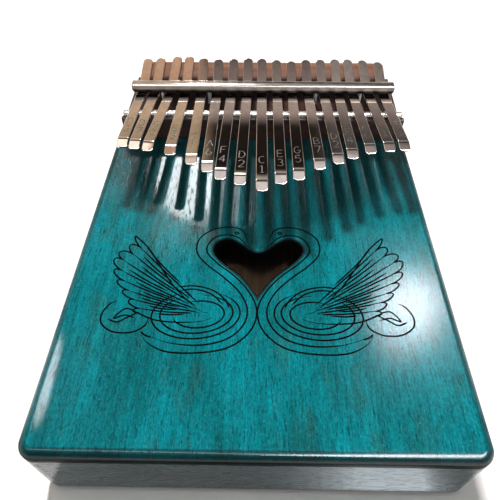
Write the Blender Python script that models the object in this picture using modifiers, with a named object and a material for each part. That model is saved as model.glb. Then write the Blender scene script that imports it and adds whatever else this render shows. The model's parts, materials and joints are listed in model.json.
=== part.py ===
"""Seventeen-key mbira (thumb piano) with a hollow wooden box.

A thin-walled box carries a wooden bridge. A steel rod and a wooden rear saddle hold seventeen
steel tines up, and a press bar, drawn down by four screws from below, clamps them in between.

Frame: the origin is under the middle of the box, on the surface that it stands on. +Z is up,
-Y points to the player (the tine tips) and +Y to the bridge. Blender units are metres.
"""
import math

import bmesh
import bpy
from mathutils import Matrix, Vector

MM = 0.001

# ---- Driving dimensions ----
BOX_LENGTH = 185.0 * MM
BOX_WIDTH_NEAR = 135.0 * MM      # at the player's end
BOX_WIDTH_FAR = 129.5 * MM       # at the bridge end
BOX_HEIGHT = 32.0 * MM
BOARD_THICKNESS = 4.0 * MM       # soundboard and back board
WALL_THICKNESS = 6.0 * MM
CORNER_RADIUS = 5.0 * MM         # vertical corners, in plan
TOP_ROUND = 3.0 * MM             # soundboard's upper edge
BOTTOM_ROUND = 3.2 * MM          # back board's lower edge
FIT_GAP = 0.3 * MM               # between pieces that touch or are glued

WAH_HOLE_RADIUS = 5.0 * MM       # two tone holes in the back board
WAH_HOLE_PLACES = ((-26.0 * MM, -8.0 * MM), (26.0 * MM, -8.0 * MM))

HEART_NOTCH_Y = -20.0 * MM
HEART_LOBE = (11.6 * MM, -13.5 * MM)      # highest point of a lobe
HEART_SIDE = (16.3 * MM, -18.4 * MM)      # widest point
HEART_FLANK = (8.5 * MM, -27.8 * MM)      # between the side and the tip
HEART_TIP_Y = -38.7 * MM

BRIDGE_SHIFT = 1.0 * MM          # the bridge sits this far right of the centre line
BRIDGE_LENGTH = 124.0 * MM       # across the box
ROD_Y = 49.3 * MM
ROD_RADIUS = 1.5 * MM
ROD_HEIGHT = 13.0 * MM           # top of the rod above the soundboard
ROD_LENGTH = 123.0 * MM
BAR_Y = 65.3 * MM
BAR_LENGTH = 119.0 * MM
SADDLE_FRONT_Y = 75.0 * MM
SADDLE_BACK_Y = 86.4 * MM
SADDLE_LENGTH = 116.0 * MM
SADDLE_ROUND = 2.2 * MM          # its upper edges and its ends' corners
BASE_FRONT_Y = 46.1 * MM
BASE_BACK_Y = 87.4 * MM
BASE_PLATE_HEIGHT = 6.3 * MM     # above the soundboard
BASE_RAIL_DEPTH = 6.5 * MM       # raised front rail that carries the rod
BASE_RAIL_HEIGHT = 11.2 * MM

TINE_WIDTH = 4.5 * MM
TINE_THICKNESS = 1.0 * MM
PRONG_RISE = math.radians(5.5)   # from the press bar up to the tip
TAIL_RISE = math.radians(15.0)   # from the press bar up to the rear saddle
TIP_TURN = math.radians(17.5)    # the last stretch is turned down by this much
TIP_LENGTH = 5.5 * MM
CLAMP_BEND_RADIUS = 20.0 * MM
TIP_BEND_RADIUS = 6.0 * MM
TIP_CORNER_RADIUS = 1.4 * MM
BAR_CLEARANCE = 0.6 * MM         # room for a tine to rock about the rod
ROCK_UP = math.radians(1.0)      # how far a tip can be lifted, which lowers its tail

# A tine's free length follows its note: the lowest note, C4, is MIDI note 60.
LOWEST_NOTE = 60
LONGEST_VIBRATING = 52.9 * MM
EXTRA_LENGTH = 2.1 * MM

# One row for each tine, left to right: MIDI note, place on the rod in mm from the bridge's
# middle, lean of the tip to the right in degrees, and how far tuning moved it out, in mm.
TINES = (
    (86, -55.8, -1.3, 0.3),
    (83, -50.2, -2.2, -0.6),
    (79, -43.6, -4.2, -2.6),
    (76, -35.8, -0.9, -2.7),
    (72, -27.9, 0.9, -0.7),
    (69, -21.0, 0.4, 0.6),
    (65, -14.6, -1.0, 0.1),
    (62, -7.4, -0.6, -0.9),
    (60, -0.3, 0.5, -0.5),
    (64, 6.7, 0.5, 1.1),
    (67, 13.6, 0.4, 2.5),
    (71, 21.2, 1.4, 0.7),
    (74, 28.4, 2.0, 0.2),
    (77, 34.9, 1.2, -0.3),
    (81, 41.8, 2.6, -0.3),
    (84, 49.2, 3.4, 0.6),
    (88, 55.8, 2.4, 2.7),
)
TAIL_END = 36.2 * MM             # behind the rod, along an untrimmed tine
CLAMP_GAPS = (2, 5, 12, 15)      # a clamp screw rises between tine n and tine n + 1

SCREW_RADIUS = 0.95 * MM
SCREW_HEAD_RADIUS = 2.1 * MM
SCREW_HEAD_HEIGHT = 1.6 * MM

ROUND_STEPS = 24
CORNER_STEPS = 6

# ---- Derived heights ----
BOARD_TOP = BOX_HEIGHT
SEAM_LOW = BOARD_THICKNESS
SEAM_HIGH = BOX_HEIGHT - BOARD_THICKNESS
ROD_TOP = BOARD_TOP + ROD_HEIGHT
HINGE_Z = ROD_TOP + FIT_GAP + TINE_THICKNESS / 2


# ---- Scene and collections ----
def clear_scene():
    for item in list(bpy.data.objects):
        bpy.data.objects.remove(item, do_unlink=True)


def new_collection(name):
    collection = bpy.data.collections.new(name)
    bpy.context.scene.collection.children.link(collection)
    return collection


clear_scene()
PARTS = new_collection("mbira")
CUTTERS = new_collection("cutters")


# ---- Materials ----
def make_material(name, colour, roughness, metallic=0.0):
    material = bpy.data.materials.new(name)
    material.use_nodes = True
    shader = material.node_tree.nodes["Principled BSDF"]
    shader.inputs["Base Color"].default_value = (*colour, 1.0)
    shader.inputs["Roughness"].default_value = roughness
    shader.inputs["Metallic"].default_value = metallic
    return material


TEAL_BOARD = make_material("teal_lacquered_mahogany", (0.01, 0.22, 0.25), 0.25)
DARK_SIDE = make_material("dark_teal_lacquer", (0.01, 0.07, 0.09), 0.2)
RAW_WOOD = make_material("raw_wood", (0.36, 0.21, 0.11), 0.7)
BRIDGE_WOOD = make_material("dark_bridge_wood", (0.12, 0.05, 0.03), 0.5)
SADDLE_WOOD = make_material("light_saddle_wood", (0.55, 0.33, 0.2), 0.5)
NICKEL = make_material("nickel_plate", (0.62, 0.58, 0.54), 0.2, 1.0)
SPRING_STEEL = make_material("polished_spring_steel", (0.56, 0.52, 0.49), 0.25, 1.0)
SCREW_STEEL = make_material("zinc_plated_steel", (0.5, 0.5, 0.5), 0.35, 1.0)


# ---- Shape helpers ----
def add_object(name, mesh, material, collection=None):
    item = bpy.data.objects.new(name, mesh)
    (collection or PARTS).objects.link(item)
    mesh.materials.clear()
    if material:
        mesh.materials.append(material)
    return item


def as_cutter(item):
    for collection in list(item.users_collection):
        collection.objects.unlink(item)
    CUTTERS.objects.link(item)
    item.hide_render = True
    item.display_type = "WIRE"
    return item


def cut(item, cutter):
    modifier = item.modifiers.new("cut_" + cutter.name, "BOOLEAN")
    modifier.operation = "DIFFERENCE"
    modifier.object = cutter
    modifier.solver = "EXACT"


def bevel(item, width, segments, by_weight=False):
    modifier = item.modifiers.new("rounded_edges", "BEVEL")
    modifier.width = width
    modifier.segments = segments
    modifier.limit_method = "WEIGHT" if by_weight else "ANGLE"
    modifier.harden_normals = False


def weigh_edges(mesh, wanted):
    """Mark the edges that the Bevel modifier rounds: wanted(a, b) takes an edge's two ends."""
    weights = mesh.attributes.new("bevel_weight_edge", "FLOAT", "EDGE")
    for edge in mesh.edges:
        ends = [mesh.vertices[index].co for index in edge.vertices]
        weights.data[edge.index].value = 1.0 if wanted(*ends) else 0.0


def smooth(item, angle=math.radians(35)):
    item.data.shade_smooth()
    item.data.set_sharp_from_angle(angle=angle)


def filled_mesh(name, curve):
    """Turn a filled curve into a closed mesh whose flat caps are single faces."""
    holder = bpy.data.objects.new(name, curve)
    bpy.context.scene.collection.objects.link(holder)
    depsgraph = bpy.context.evaluated_depsgraph_get()
    mesh = bpy.data.meshes.new_from_object(holder.evaluated_get(depsgraph))
    bpy.data.objects.remove(holder, do_unlink=True)
    body = bmesh.new()
    body.from_mesh(mesh)
    bmesh.ops.remove_doubles(body, verts=body.verts, dist=0.002 * MM)
    bmesh.ops.dissolve_limit(
        body, angle_limit=math.radians(0.5), verts=body.verts, edges=body.edges)
    bmesh.ops.recalc_face_normals(body, faces=body.faces)
    body.to_mesh(mesh)
    body.free()
    mesh.name = name
    return mesh


def prism(name, outline, depth, material, collection=None):
    """Extrude a flat outline by depth, half of it to each side of the local XY plane."""
    curve = bpy.data.curves.new(name, "CURVE")
    curve.dimensions = "2D"
    curve.fill_mode = "BOTH"
    curve.extrude = depth / 2
    spline = curve.splines.new("POLY")
    spline.points.add(len(outline) - 1)
    for point, (x, y) in zip(spline.points, outline):
        point.co = (x, y, 0.0, 1.0)
    spline.use_cyclic_u = True
    return add_object(name, filled_mesh(name, curve), material, collection)


def upright_prism(name, outline, low, high, material, collection=None):
    item = prism(name, outline, high - low, material, collection)
    item.location.z = (low + high) / 2
    return item


def cross_prism(name, profile, length, material):
    """Extrude a (y, z) profile along X, centred on the bridge's middle."""
    item = prism(name, profile, length, material)
    turn = Matrix(((0, 0, 1), (1, 0, 0), (0, 1, 0))).to_4x4()
    item.data.transform(turn)
    item.location.x = BRIDGE_SHIFT
    return item


def block(name, size, centre, material):
    mesh = bpy.data.meshes.new(name)
    body = bmesh.new()
    bmesh.ops.create_cube(body, size=1.0, matrix=Matrix.Diagonal((*size, 1.0)))
    body.to_mesh(mesh)
    body.free()
    item = add_object(name, mesh, material)
    item.location = centre
    return item


def cylinder(name, radius, length, material, collection=None):
    mesh = bpy.data.meshes.new(name)
    body = bmesh.new()
    bmesh.ops.create_cone(body, cap_ends=True, segments=ROUND_STEPS,
                          radius1=radius, radius2=radius, depth=length)
    body.to_mesh(mesh)
    body.free()
    return add_object(name, mesh, material, collection)


def turned(name, profile, material, collection=None):
    """Spin an (r, z) profile, listed from the top down, about the local Z axis."""
    mesh = bpy.data.meshes.new(name)
    points = [(radius, 0.0, height) for radius, height in profile]
    steps = [(index, index + 1) for index in range(len(points) - 1)]
    mesh.from_pydata(points, steps, [])
    item = add_object(name, mesh, material, collection)
    modifier = item.modifiers.new("turned", "SCREW")
    modifier.steps = ROUND_STEPS
    modifier.render_steps = ROUND_STEPS
    modifier.use_merge_vertices = True
    modifier.merge_threshold = 0.01 * MM
    modifier.use_smooth_shade = True
    return item


# ---- Box outline ----
def sharp_corners(inset):
    """The box's four corners, anticlockwise from the near left, moved in by inset."""
    near = BOX_WIDTH_NEAR / 2 - inset
    far = BOX_WIDTH_FAR / 2 - inset
    end = BOX_LENGTH / 2 - inset
    return [Vector((-near, -end)), Vector((near, -end)),
            Vector((far, end)), Vector((-far, end))]


def corner_arc(corners, index):
    """Points of the fillet at one corner, in the outline's direction."""
    corner = corners[index]
    before = (corners[index - 1] - corner).normalized()
    after = (corners[(index + 1) % 4] - corner).normalized()
    half = before.angle(after) / 2
    middle = corner + (before + after).normalized() * CORNER_RADIUS / math.sin(half)
    reach = CORNER_RADIUS / math.tan(half)
    start = corner + before * reach - middle
    turn = math.pi - 2 * half
    arc = []
    for step in range(CORNER_STEPS + 1):
        angle = turn * step / CORNER_STEPS
        arc.append(middle + Matrix.Rotation(angle, 2) @ start)
    return arc


def box_outline():
    corners = sharp_corners(0.0)
    return [point for index in range(4) for point in corner_arc(corners, index)]


def wall_outline(index):
    """One wall between the mitres at corner index and the next."""
    outer = sharp_corners(0.0)
    inner = sharp_corners(WALL_THICKNESS)
    following = (index + 1) % 4
    half = CORNER_STEPS // 2
    outer_path = corner_arc(outer, index)[half:] + corner_arc(outer, following)[:half + 1]
    along = (outer[following] - outer[index]).normalized()
    relief = along * FIT_GAP / math.sqrt(2)
    outer_path[0] += relief
    outer_path[-1] -= relief
    return outer_path + [inner[following] - relief, inner[index] + relief]


# ---- Sound box ----
def heart_outline_curve():
    """The heart-shaped sound hole as a closed Bezier outline, symmetric about X = 0."""
    curve = bpy.data.curves.new("heart", "CURVE")
    curve.dimensions = "2D"
    curve.fill_mode = "BOTH"
    curve.extrude = BOARD_THICKNESS
    curve.resolution_u = 8
    lobe_x, lobe_y = HEART_LOBE
    side_x, side_y = HEART_SIDE
    half = (
        # point, handle before, handle after, for the right half from the notch to the tip
        ((0.0, HEART_NOTCH_Y), (-4.2 * MM, HEART_NOTCH_Y), (4.2 * MM, HEART_NOTCH_Y)),
        ((lobe_x, lobe_y), (lobe_x - 4.6 * MM, lobe_y), (lobe_x + 2.6 * MM, lobe_y)),
        ((side_x, side_y), (side_x, side_y + 2.7 * MM), (side_x, side_y - 3.0 * MM)),
        (HEART_FLANK, (11.5 * MM, -25.3 * MM), (5.4 * MM, -30.3 * MM)),
        ((0.0, HEART_TIP_Y), (1.5 * MM, -35.9 * MM), (-1.5 * MM, -35.9 * MM)),
    )
    def mirror(entry):
        point, before, after = entry
        return tuple((-x, y) for x, y in (point, after, before))
    points = list(half) + [mirror(entry) for entry in reversed(half[1:-1])]
    spline = curve.splines.new("BEZIER")
    spline.bezier_points.add(len(points) - 1)
    for target, (point, before, after) in zip(spline.bezier_points, points):
        target.handle_left_type = "FREE"
        target.handle_right_type = "FREE"
        target.co = (*point, 0.0)
        target.handle_left = (*before, 0.0)
        target.handle_right = (*after, 0.0)
    spline.use_cyclic_u = True
    return curve


def make_soundboard():
    low = SEAM_HIGH + FIT_GAP / 2
    board = upright_prism("soundboard", box_outline(), low, BOARD_TOP, TEAL_BOARD)
    middle = (BOARD_TOP - low) / 2
    weigh_edges(board.data, lambda a, b: min(a.z, b.z) > middle * 0.9)
    bevel(board, TOP_ROUND, 4, by_weight=True)
    heart = add_object("heart_cutter", filled_mesh("heart_cutter", heart_outline_curve()),
                       None, CUTTERS)
    heart.location.z = (low + BOARD_TOP) / 2
    cut(board, as_cutter(heart))
    smooth(board)


def make_back_board():
    high = SEAM_LOW - FIT_GAP / 2
    board = upright_prism("back_board", box_outline(), 0.0, high, DARK_SIDE)
    weigh_edges(board.data, lambda a, b: max(a.z, b.z) < -high * 0.45)
    bevel(board, BOTTOM_ROUND, 4, by_weight=True)
    for number, (x, y) in enumerate(WAH_HOLE_PLACES, 1):
        hole = cylinder(f"wah_hole_cutter_{number}", WAH_HOLE_RADIUS, 3 * BOARD_THICKNESS,
                        None, CUTTERS)
        hole.location = (x, y, SEAM_LOW / 2)
        cut(board, as_cutter(hole))
    smooth(board)


def make_walls():
    names = ("front_wall", "right_wall", "rear_wall", "left_wall")
    low = SEAM_LOW + FIT_GAP / 2
    high = SEAM_HIGH - FIT_GAP / 2
    for index, name in enumerate(names):
        wall = upright_prism(name, wall_outline(index), low, high, DARK_SIDE)
        smooth(wall)


def make_brace():
    width = 14.0 * MM
    height = 8.0 * MM
    centre_y = (BASE_FRONT_Y + BASE_BACK_Y) / 2
    share = 0.5 - centre_y / BOX_LENGTH
    box_width = BOX_WIDTH_FAR + (BOX_WIDTH_NEAR - BOX_WIDTH_FAR) * share
    length = box_width - 2 * WALL_THICKNESS - 4 * FIT_GAP
    centre = (0.0, centre_y, SEAM_HIGH - FIT_GAP / 2 - height / 2)
    brace = block("bridge_brace", (length, width, height), centre, RAW_WOOD)
    bevel(brace, 1.5 * MM, 1)


# ---- Tines ----
def tine_length(note, trim):
    vibrating = LONGEST_VIBRATING * 2 ** (-(note - LOWEST_NOTE) / 24)
    return vibrating + EXTRA_LENGTH + trim


def arc_path(start, heading, turn, radius, steps):
    """Points of an arc in (y, z) that starts at start and turns by turn, without its start."""
    side = 1.0 if turn > 0 else -1.0
    y, z = start
    centre = (y - side * radius * math.sin(heading), z + side * radius * math.cos(heading))
    points = []
    for step in range(1, steps + 1):
        angle = heading + turn * step / steps
        points.append((centre[0] + side * radius * math.sin(angle),
                       centre[1] - side * radius * math.cos(angle)))
    return points


def tine_side_view(length, tail):
    """Middle line of a tine in (y, z), from the tail to the tip, zero on the rod.

    y grows towards the tip here. The tine falls to the press bar and rises again past it.
    """
    bar = BAR_Y - ROD_Y
    front_run = CLAMP_BEND_RADIUS * math.sin(PRONG_RISE)
    low = (-(bar - front_run) * math.tan(PRONG_RISE)
           - CLAMP_BEND_RADIUS * (1 - math.cos(PRONG_RISE)))
    back_y = -bar - CLAMP_BEND_RADIUS * math.sin(TAIL_RISE)
    back_z = low + CLAMP_BEND_RADIUS * (1 - math.cos(TAIL_RISE))
    tail_z = back_z + (back_y + tail) * math.tan(TAIL_RISE)
    path = [(-tail, tail_z), (back_y, back_z)]
    path += arc_path(path[-1], -TAIL_RISE, TAIL_RISE + PRONG_RISE, CLAMP_BEND_RADIUS, 5)
    path.append((0.0, 0.0))
    crease = length - TIP_LENGTH
    path.append((crease, crease * math.tan(PRONG_RISE)))
    path += arc_path(path[-1], PRONG_RISE, -TIP_TURN, TIP_BEND_RADIUS, 3)
    heading = PRONG_RISE - TIP_TURN
    path.append((length, path[-1][1] + (length - path[-1][0]) * math.tan(heading)))
    return path


def point_at(path, y):
    """Height of the middle line at y."""
    for (y0, z0), (y1, z1) in zip(path, path[1:]):
        if y <= y1 + 1e-9:
            return z0 + (z1 - z0) * (y - y0) / (y1 - y0)
    return path[-1][1]


def rounded_end(radius, steps):
    """Distances from an end, and how much the half width shrinks there."""
    places = []
    for step in range(steps):
        angle = math.pi / 2 * step / steps
        places.append((radius * (1 - math.cos(angle)), radius * (1 - math.sin(angle))))
    return places


def tine_stations(path, tail_radius, tip_radius):
    """(y, z, half width) at each cross section, from the tail to the tip."""
    half = TINE_WIDTH / 2
    first, last = path[0][0], path[-1][0]
    places = [(first + run, half - shrink) for run, shrink in rounded_end(tail_radius, 3)]
    places.append((first + tail_radius, half))
    places += [(y, half) for y, _ in path[1:-1]]
    places.append((last - tip_radius, half))
    ends = [(last - run, half - shrink) for run, shrink in rounded_end(tip_radius, 3)]
    places += reversed(ends)
    return [(y, point_at(path, y), width) for y, width in places]


def make_tine(number, note, place, lean, trim):
    length = tine_length(note, trim)
    tail = TAIL_END - trim * 0.5
    stations = tine_stations(tine_side_view(length, tail), 1.9 * MM, TIP_CORNER_RADIUS)
    mesh = bpy.data.meshes.new(f"tine_{number:02d}")
    body = bmesh.new()
    bmesh.ops.create_grid(body, x_segments=1, y_segments=len(stations) - 1, size=0.5)
    rows = len(stations) - 1
    for vertex in body.verts:
        y, z, half = stations[round((vertex.co.y + 0.5) * rows)]
        vertex.co = (math.copysign(half, vertex.co.x), -y, z)
    body.to_mesh(mesh)
    body.free()
    tine = add_object(mesh.name, mesh, SPRING_STEEL)
    tine.location = (BRIDGE_SHIFT + place, ROD_Y, HINGE_Z)
    tine.rotation_euler.z = math.radians(lean)
    thick = tine.modifiers.new("thickness", "SOLIDIFY")
    thick.thickness = TINE_THICKNESS
    thick.offset = 0.0
    thick.use_even_offset = True
    smooth(tine)


def tine_x_at(number, y):
    """Middle of tine number, counted from 1, on the line at y."""
    _, place, lean, _ = TINES[number - 1]
    return BRIDGE_SHIFT + place * MM - (y - ROD_Y) * math.tan(math.radians(lean))


# ---- Bridge ----
def tine_height_at(y):
    """Height of every tine's middle line at y, behind the rod."""
    return HINGE_Z + point_at(tine_side_view(30.0 * MM, TAIL_END), ROD_Y - y)


def screw_profile(clearance):
    """(r, z) of a clamp screw, top down: its tip in the press bar, its head in the base."""
    head_low = BOARD_TOP + 2 * FIT_GAP - clearance
    head_high = head_low + SCREW_HEAD_HEIGHT + 2 * clearance
    tip = BAR_BOTTOM + 3.0 * MM + clearance
    return [(0.0, tip), (SCREW_RADIUS + clearance, tip),
            (SCREW_RADIUS + clearance, head_high),
            (SCREW_HEAD_RADIUS + clearance, head_high),
            (SCREW_HEAD_RADIUS + clearance, head_low), (0.0, head_low)]


def make_clamp_screws(holders):
    for number, left in enumerate(CLAMP_GAPS, 1):
        x = (tine_x_at(left, BAR_Y) + tine_x_at(left + 1, BAR_Y)) / 2
        screw = turned(f"clamp_screw_{number}", screw_profile(0.0), SCREW_STEEL)
        screw.location = (x, BAR_Y, 0.0)
        hole = turned(f"screw_hole_cutter_{number}", screw_profile(FIT_GAP), None, CUTTERS)
        hole.location = screw.location
        as_cutter(hole)
        for holder in holders:
            cut(holder, hole)


def make_bridge_base():
    low = BOARD_TOP + FIT_GAP
    plate = BOARD_TOP + BASE_PLATE_HEIGHT
    rail = BOARD_TOP + BASE_RAIL_HEIGHT
    rail_back = BASE_FRONT_Y + BASE_RAIL_DEPTH
    profile = [(BASE_FRONT_Y, low), (BASE_BACK_Y, low), (BASE_BACK_Y, plate),
               (rail_back, plate), (rail_back, rail), (BASE_FRONT_Y, rail)]
    base = cross_prism("bridge_base", profile, BRIDGE_LENGTH, BRIDGE_WOOD)
    bevel(base, 0.8 * MM, 2)
    groove = cylinder("rod_groove_cutter", ROD_RADIUS + FIT_GAP, BRIDGE_LENGTH * 1.2,
                      None, CUTTERS)
    groove.rotation_euler.y = math.pi / 2
    groove.location = (BRIDGE_SHIFT, ROD_Y, ROD_TOP - ROD_RADIUS)
    cut(base, as_cutter(groove))
    return base


def make_saddle_rod():
    rod = cylinder("front_saddle_rod", ROD_RADIUS, ROD_LENGTH, SPRING_STEEL)
    rod.rotation_euler.y = math.pi / 2
    rod.location = (BRIDGE_SHIFT, ROD_Y, ROD_TOP - ROD_RADIUS)
    bevel(rod, 0.5 * MM, 2)
    smooth(rod)


def saddle_top_at(y):
    """The saddle's top follows the tails, low enough for a tail to come down on it."""
    underside = tine_height_at(y) - TINE_THICKNESS / 2 / math.cos(TAIL_RISE)
    return underside - FIT_GAP - (y - ROD_Y) * math.tan(ROCK_UP)


def make_rear_saddle():
    low = BOARD_TOP + BASE_PLATE_HEIGHT + FIT_GAP
    profile = [(SADDLE_FRONT_Y, low), (SADDLE_BACK_Y, low),
               (SADDLE_BACK_Y, saddle_top_at(SADDLE_BACK_Y)),
               (SADDLE_FRONT_Y, saddle_top_at(SADDLE_FRONT_Y))]
    saddle = cross_prism("rear_saddle", profile, SADDLE_LENGTH, SADDLE_WOOD)
    weigh_edges(saddle.data, lambda a, b: max(a.z, b.z) > low + FIT_GAP)
    bevel(saddle, SADDLE_ROUND, 4, by_weight=True)
    smooth(saddle)


def make_press_bar():
    """A T-section: a flange on top, and a ridge below it that bears on the tines."""
    ridge_half = 1.5 * MM
    flange_low = BAR_BOTTOM + 0.7 * MM
    flange_high = flange_low + 2.8 * MM
    front = BAR_Y - 2.5 * MM
    back = BAR_Y + 2.5 * MM
    edge_low = flange_low + 0.2 * MM
    profile = [(BAR_Y - ridge_half, BAR_BOTTOM), (BAR_Y + ridge_half, BAR_BOTTOM),
               (BAR_Y + ridge_half, flange_low), (back, edge_low), (back, flange_high),
               (front, flange_high), (front, edge_low), (BAR_Y - ridge_half, flange_low)]
    bar = cross_prism("press_bar", profile, BAR_LENGTH, NICKEL)
    weigh_edges(bar.data, lambda a, b: min(a.z, b.z) > flange_high - FIT_GAP)
    bevel(bar, 0.8 * MM, 3, by_weight=True)
    smooth(bar)
    return bar


BAR_BOTTOM = tine_height_at(BAR_Y) + TINE_THICKNESS / 2 + BAR_CLEARANCE

make_soundboard()
make_back_board()
make_walls()
make_brace()
bridge_base = make_bridge_base()
make_saddle_rod()
make_rear_saddle()
press_bar = make_press_bar()
make_clamp_screws((bridge_base, press_bar))
for tine_number, (tine_note, tine_place, tine_lean, tine_trim) in enumerate(TINES, 1):
    make_tine(tine_number, tine_note, tine_place * MM, tine_lean, tine_trim * MM)
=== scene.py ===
"""Looks of the seventeen-key mbira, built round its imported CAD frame.

Lengths are metres in the row frame: the origin is under the middle of the box, +Z is up and
-Y points to the player. Places come from the frame; the constants below are only what the
frame doesn't say, such as edge rounding, bends, note marks and the engraved ornament.
"""
import functools
import math

import bpy
import numpy as np
from mathutils import Matrix, Quaternion, Vector
from mathutils.geometry import delaunay_2d_cdt
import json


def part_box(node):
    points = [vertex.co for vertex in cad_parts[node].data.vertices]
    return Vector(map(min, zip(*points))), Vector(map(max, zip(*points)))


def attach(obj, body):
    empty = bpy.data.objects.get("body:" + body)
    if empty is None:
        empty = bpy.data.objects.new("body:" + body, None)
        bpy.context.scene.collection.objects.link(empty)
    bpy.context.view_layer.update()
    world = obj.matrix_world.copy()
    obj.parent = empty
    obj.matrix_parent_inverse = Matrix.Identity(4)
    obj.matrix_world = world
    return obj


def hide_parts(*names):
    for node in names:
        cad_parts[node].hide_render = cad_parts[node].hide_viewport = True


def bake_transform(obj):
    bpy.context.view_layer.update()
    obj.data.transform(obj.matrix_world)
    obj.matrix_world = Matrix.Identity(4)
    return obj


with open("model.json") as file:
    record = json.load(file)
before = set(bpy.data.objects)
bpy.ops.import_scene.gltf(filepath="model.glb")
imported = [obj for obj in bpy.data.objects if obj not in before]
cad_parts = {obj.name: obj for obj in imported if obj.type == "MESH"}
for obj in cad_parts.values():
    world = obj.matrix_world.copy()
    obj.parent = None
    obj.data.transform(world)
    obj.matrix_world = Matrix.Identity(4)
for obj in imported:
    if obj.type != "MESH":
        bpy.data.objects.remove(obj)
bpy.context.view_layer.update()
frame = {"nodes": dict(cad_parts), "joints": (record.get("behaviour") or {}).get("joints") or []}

MM = 0.001

# ---- Camera ----
CAMERA_PLACE = (1.34 * MM, -133.69 * MM, 174.89 * MM)
CAMERA_DOWN = math.radians(49.618)       # below the horizon
CAMERA_RIGHT = math.radians(-0.956)      # turned to the right of +Y
CAMERA_ROLL = math.radians(-0.113)
CAMERA_LENS = 35.69
CAMERA_SHIFT = (-0.01306, -0.02546)


def add_object(name, data):
    item = bpy.data.objects.new(name, data)
    bpy.context.scene.collection.objects.link(item)
    return item


def make_camera():
    data = bpy.data.cameras.new("camera")
    data.lens = CAMERA_LENS
    data.shift_x, data.shift_y = CAMERA_SHIFT
    data.clip_start = 1 * MM
    camera = add_object("camera", data)
    turn = Matrix.Rotation(-CAMERA_RIGHT, 4, "Z")
    tilt = Matrix.Rotation(math.pi / 2 - CAMERA_DOWN, 4, "X")
    roll = Matrix.Rotation(CAMERA_ROLL, 4, "Z")
    camera.matrix_world = Matrix.Translation(CAMERA_PLACE) @ turn @ tilt @ roll
    bpy.context.scene.camera = camera


make_camera()

# ---- Measures from the frame ----
board_low, board_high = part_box("soundboard")
back_low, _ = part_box("back_board")
rod_low, rod_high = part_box("front_saddle_rod")
bar_low, bar_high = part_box("press_bar")
saddle_low, saddle_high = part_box("rear_saddle")
base_low, base_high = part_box("bridge_base")

BOARD_TOP = board_high.z
BOARD_THICKNESS = 4.0 * MM
SEAM_LOW = back_low.z + BOARD_THICKNESS
SEAM_HIGH = BOARD_TOP - BOARD_THICKNESS
BOX_LENGTH = board_high.y - board_low.y
ROD_Y = (rod_low.y + rod_high.y) / 2
ROD_RADIUS = (rod_high.y - rod_low.y) / 2
ROD_TOP = rod_high.z
BAR_Y = (bar_low.y + bar_high.y) / 2

# ---- Box shape ----
NEAR_WIDTH = board_high.x - board_low.x
FAR_WIDTH = NEAR_WIDTH - 5.5 * MM
CORNER_RADIUS = 5.0 * MM
WALL_THICKNESS = 6.0 * MM
TOP_ROUND = 3.0 * MM
BOTTOM_ROUND = 3.2 * MM
SEAM_EASE = 0.25 * MM             # small chamfer along each glued seam

HEART_EASE = 0.45 * MM            # rounding of the sound hole's edge
HEART_RIM = 1.1 * MM              # burnt margin round it
ORNAMENT_WIDTH = 0.62 * MM
ORNAMENT_DEPTH = 0.22 * MM
TONE_HOLE_PLACES = ((-26 * MM, -8 * MM), (26 * MM, -8 * MM))
TONE_HOLE_RADIUS = 5.0 * MM
TONE_HOLE_EASE = 0.5 * MM

# ---- Bridge shape ----
BASE_PLATE_TOP = BOARD_TOP + 6.3 * MM
BASE_RAIL_DEPTH = 6.5 * MM
BASE_EASE = 0.3 * MM              # rounding of the base's ends
GROOVE_GAP = 0.05 * MM            # round the rod
SADDLE_ROUND = 2.4 * MM           # of its ends
BAR_FLANGE = 2.8 * MM             # height of the press bar's wide top
BAR_RIDGE = 1.4 * MM              # half the width of the ridge below it
BAR_END_EASE = 0.28 * MM
BAR_GAP = 0.02 * MM               # between the ridge and the tines
SCREW_HEAD_HEIGHT = 1.6 * MM
THREAD_CORE = 0.78 * MM           # radius
THREAD_CREST = 0.95 * MM
THREAD_PITCH = 0.5 * MM

# ---- Tine shape ----
TINE_WIDTH = 4.5 * MM
TINE_THICKNESS = 1.0 * MM
TINE_EDGE = 0.22 * MM             # rounding of a tine's long edges
PRONG_RISE = math.radians(5.5)
TAIL_RISE = math.radians(15.0)
TIP_TURN = math.radians(17.5)
TIP_LENGTH = 5.5 * MM
CLAMP_BEND_RADIUS = 20.0 * MM
TIP_BEND_RADIUS = 6.0 * MM
TIP_CORNER_RADIUS = 1.4 * MM
TAIL_REACH = 45 * MM              # how far the middle line is worked out, from the rod
TIP_REACH = 12 * MM               # and past the tip's crease


# ---- Meshes: a plate with rounded edges, holes and engraved strokes ----
FLAT_RIM = 0.06 * MM              # inside the edge of a cap, to keep its shading flat
LEAST_RADIUS = 0.04 * MM          # of a fillet that an inset has used up
SAME_PLACE = 1e-5                 # mm, within which points of a cap are one


def corner_points(corner, before, after, radius, steps):
    """Fillet of one corner of an outline that runs anticlockwise."""
    back = (Vector(before) - Vector(corner)).normalized()
    ahead = (Vector(after) - Vector(corner)).normalized()
    half = back.angle(ahead) / 2
    middle = Vector(corner) + (back + ahead).normalized() * radius / math.sin(half)
    start = Vector(corner) + back * radius / math.tan(half) - middle
    turn = math.copysign(math.pi - 2 * half, ahead.cross(back))
    return [tuple(middle + Matrix.Rotation(turn * k / steps, 2) @ start)
            for k in range(steps + 1)]


def rounded_polygon(corners, radii, steps=8):
    points = []
    count = len(corners)
    for index, (corner, radius) in enumerate(zip(corners, radii)):
        if radius:
            points += corner_points(corner, corners[index - 1], corners[(index + 1) % count],
                                    radius, steps)
        else:
            points.append(tuple(corner))
    return points


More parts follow.
